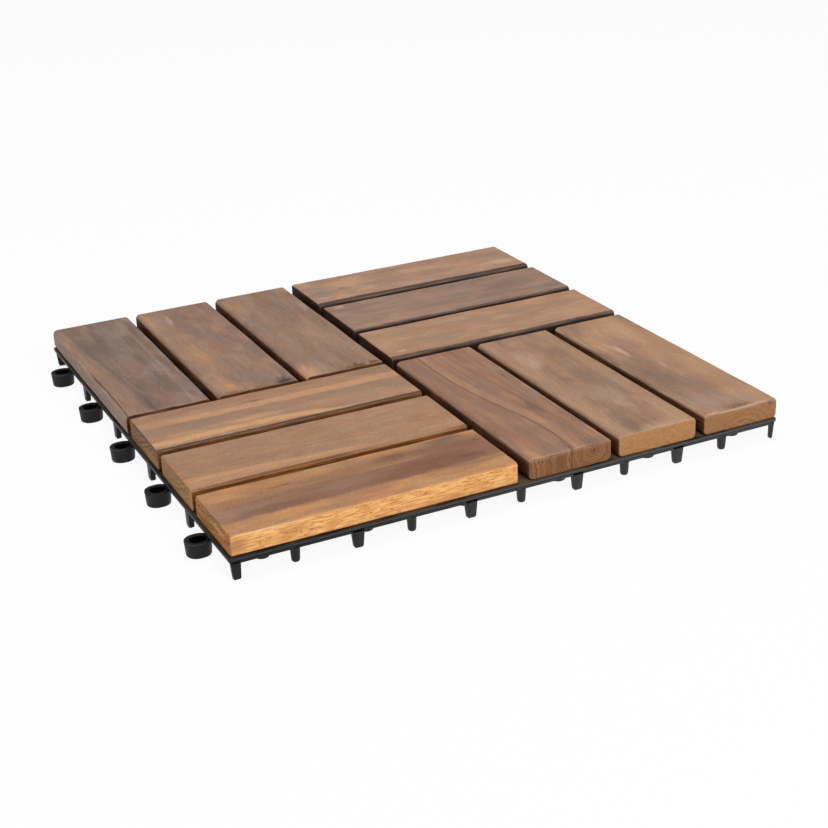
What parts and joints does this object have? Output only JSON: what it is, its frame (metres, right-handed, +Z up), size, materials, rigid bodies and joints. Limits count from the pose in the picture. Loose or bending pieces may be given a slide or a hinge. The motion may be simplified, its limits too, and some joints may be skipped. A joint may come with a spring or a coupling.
{
  "type": "interlocking deck tile",
  "caption": "Square deck tile of hardwood slats in a basket-weave parquet on a black moulded base with pins and loops along its edges.",
  "frame": {"origin": "on the floor, in the middle of the overall outline with its loops", "axes": "+Z up from the floor through the deck; +X to the right along the front edge, where the pins hang; +Y to the back edge, where loops stand out"},
  "size_m": [0.3092, 0.3092, 0.0226],
  "materials": {
    "base_plastic": "matte",
    "screw_steel": "satin",
    "slat_back_left_1_wood": "satin",
    "slat_back_left_2_wood": "satin",
    "slat_back_left_3_wood": "satin",
    "slat_back_right_1_wood": "satin",
    "slat_back_right_2_wood": "satin",
    "slat_back_right_3_wood": "satin",
    "slat_front_left_1_wood": "satin",
    "slat_front_left_2_wood": "satin",
    "slat_front_left_3_wood": "satin",
    "slat_front_right_1_wood": "satin",
    "slat_front_right_2_wood": "satin",
    "slat_front_right_3_wood": "satin"
  },
  "bodies": {
    "root": {"base": "base_plastic", "screw_back_left_1a": "screw_steel", "screw_back_left_1b": "screw_steel", "screw_back_left_2a": "screw_steel", "screw_back_left_2b": "screw_steel", "screw_back_left_3a": "screw_steel", "screw_back_left_3b": "screw_steel", "screw_back_right_1a": "screw_steel", "screw_back_right_1b": "screw_steel", "screw_back_right_2a": "screw_steel", "screw_back_right_2b": "screw_steel", "screw_back_right_3a": "screw_steel", "screw_back_right_3b": "screw_steel", "screw_front_left_1a": "screw_steel", "screw_front_left_1b": "screw_steel", "screw_front_left_2a": "screw_steel", "screw_front_left_2b": "screw_steel", "screw_front_left_3a": "screw_steel", "screw_front_left_3b": "screw_steel", "screw_front_right_1a": "screw_steel", "screw_front_right_1b": "screw_steel", "screw_front_right_2a": "screw_steel", "screw_front_right_2b": "screw_steel", "screw_front_right_3a": "screw_steel", "screw_front_right_3b": "screw_steel", "slat_back_left_1": "slat_back_left_1_wood", "slat_back_left_2": "slat_back_left_2_wood", "slat_back_left_3": "slat_back_left_3_wood", "slat_back_right_1": "slat_back_right_1_wood", "slat_back_right_2": "slat_back_right_2_wood", "slat_back_right_3": "slat_back_right_3_wood", "slat_front_left_1": "slat_front_left_1_wood", "slat_front_left_2": "slat_front_left_2_wood", "slat_front_left_3": "slat_front_left_3_wood", "slat_front_right_1": "slat_front_right_1_wood", "slat_front_right_2": "slat_front_right_2_wood", "slat_front_right_3": "slat_front_right_3_wood"}
  },
  "joints": []
}
